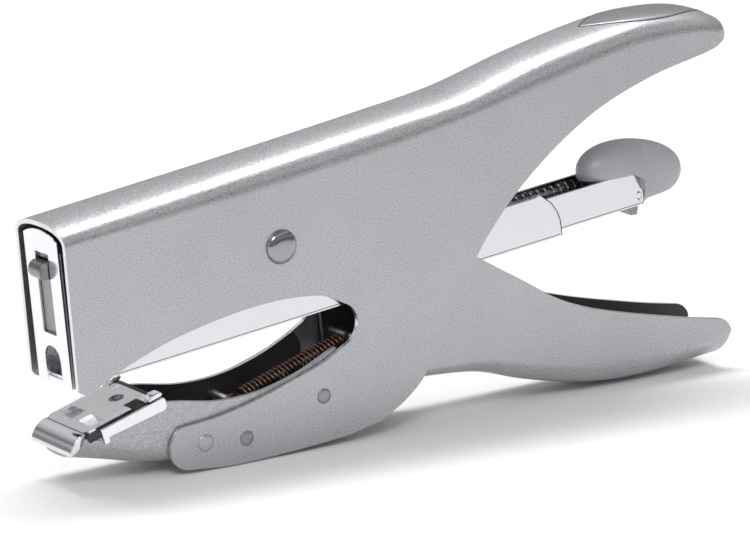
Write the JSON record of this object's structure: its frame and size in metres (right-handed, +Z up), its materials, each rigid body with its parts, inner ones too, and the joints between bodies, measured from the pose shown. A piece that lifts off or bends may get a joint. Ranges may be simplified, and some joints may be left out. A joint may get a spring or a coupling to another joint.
{
  "type": "plier stapler",
  "caption": "Silver plier stapler: folded sheet casing with nose and upper handle, fixed jaw with anvil, squeezed lower handle, hinged staple magazine with a pull-out loader",
  "frame": {"origin": "middle of the bounding box in plan, at the level of the ground the tool stands on", "axes": "+X to the rear along the handles, +Y across the tool, +Z up"},
  "size_m": [0.2138, 0.0258, 0.0984],
  "materials": {
    "paint": "satin silver paint with a fine metallic sparkle",
    "inlay": "satin silver paint",
    "chrome": "bright nickel plate",
    "steel": "bright zinc plate",
    "dark_steel": "oiled spring steel",
    "knob": "smooth light grey moulding",
    "copper": "copper-washed steel wire"
  },
  "bodies": {
    "frame": {"casing": "paint", "thumb_inlay": "inlay", "jaw_arm": "paint", "anvil_bracket": "steel", "anvil_plate": "chrome", "nose_cap": "chrome", "anvil_rivet": "steel", "jaw_rivets": "steel", "jaw_spacers": "steel", "pivot_pin": "chrome", "pivot_cap": "chrome", "spring_front_pin": "steel", "return_spring": "copper"},
    "lever": {"lower_handle": "paint", "driver_arm": "dark_steel", "arm_rivet": "steel", "arm_spacers": "steel", "spring_rear_pin": "steel", "pivot_bush": "steel", "pivot_washers": "steel"},
    "magazine": {"magazine_channel": "chrome", "front_plate": "chrome", "staple_cover": "steel", "leaf_spring": "dark_steel", "staple_strip": "copper"},
    "driver": {"driver_blade": "dark_steel"},
    "loader": {"core_rail": "chrome", "loader_knob": "knob", "knob_pin": "steel", "guide_rod": "steel", "rod_blocks": "steel", "core_catch": "steel", "pusher_spring": "steel"},
    "pusher_body": {"pusher": "steel"}
  },
  "joints": [
    {"name": "lever_squeeze", "type": "hinge", "parent": "frame", "child": "lever", "pos_m": [-0.04186, 0, 0.05401], "axis": [0, -1, 0], "range_deg": [0, 21], "stiffness_Nm_per_rad": 1.5, "springref_deg": -20.05, "deforming": ["return_spring", "leaf_spring"]},
    {"name": "magazine_close", "type": "hinge", "parent": "frame", "child": "magazine", "pos_m": [-0.04186, 0, 0.05401], "axis": [0, -1, 0], "range_deg": [0, 10]},
    {"name": "driver_slide", "type": "slide", "parent": "magazine", "child": "driver", "axis": [0.1167, 0, -0.9932], "range_m": [0, 0.0117]},
    {"name": "loader_slide", "type": "slide", "parent": "magazine", "child": "loader", "axis": [0.9932, 0, 0.1167], "range_m": [0, 0.1]},
    {"name": "pusher_slide", "type": "slide", "parent": "loader", "child": "pusher_body", "axis": [0.9932, 0, 0.1167], "range_m": [0, 0.04], "stiffness_N_per_m": 60, "springref_m": -0.02, "deforming": ["pusher_spring"]}
  ],
  "couplings": [
    {"joint": "magazine_close", "follows": "lever_squeeze", "ratio": 0.47619},
    {"joint": "driver_slide", "follows": "lever_squeeze", "m_per_rad": 0.031932}
  ]
}
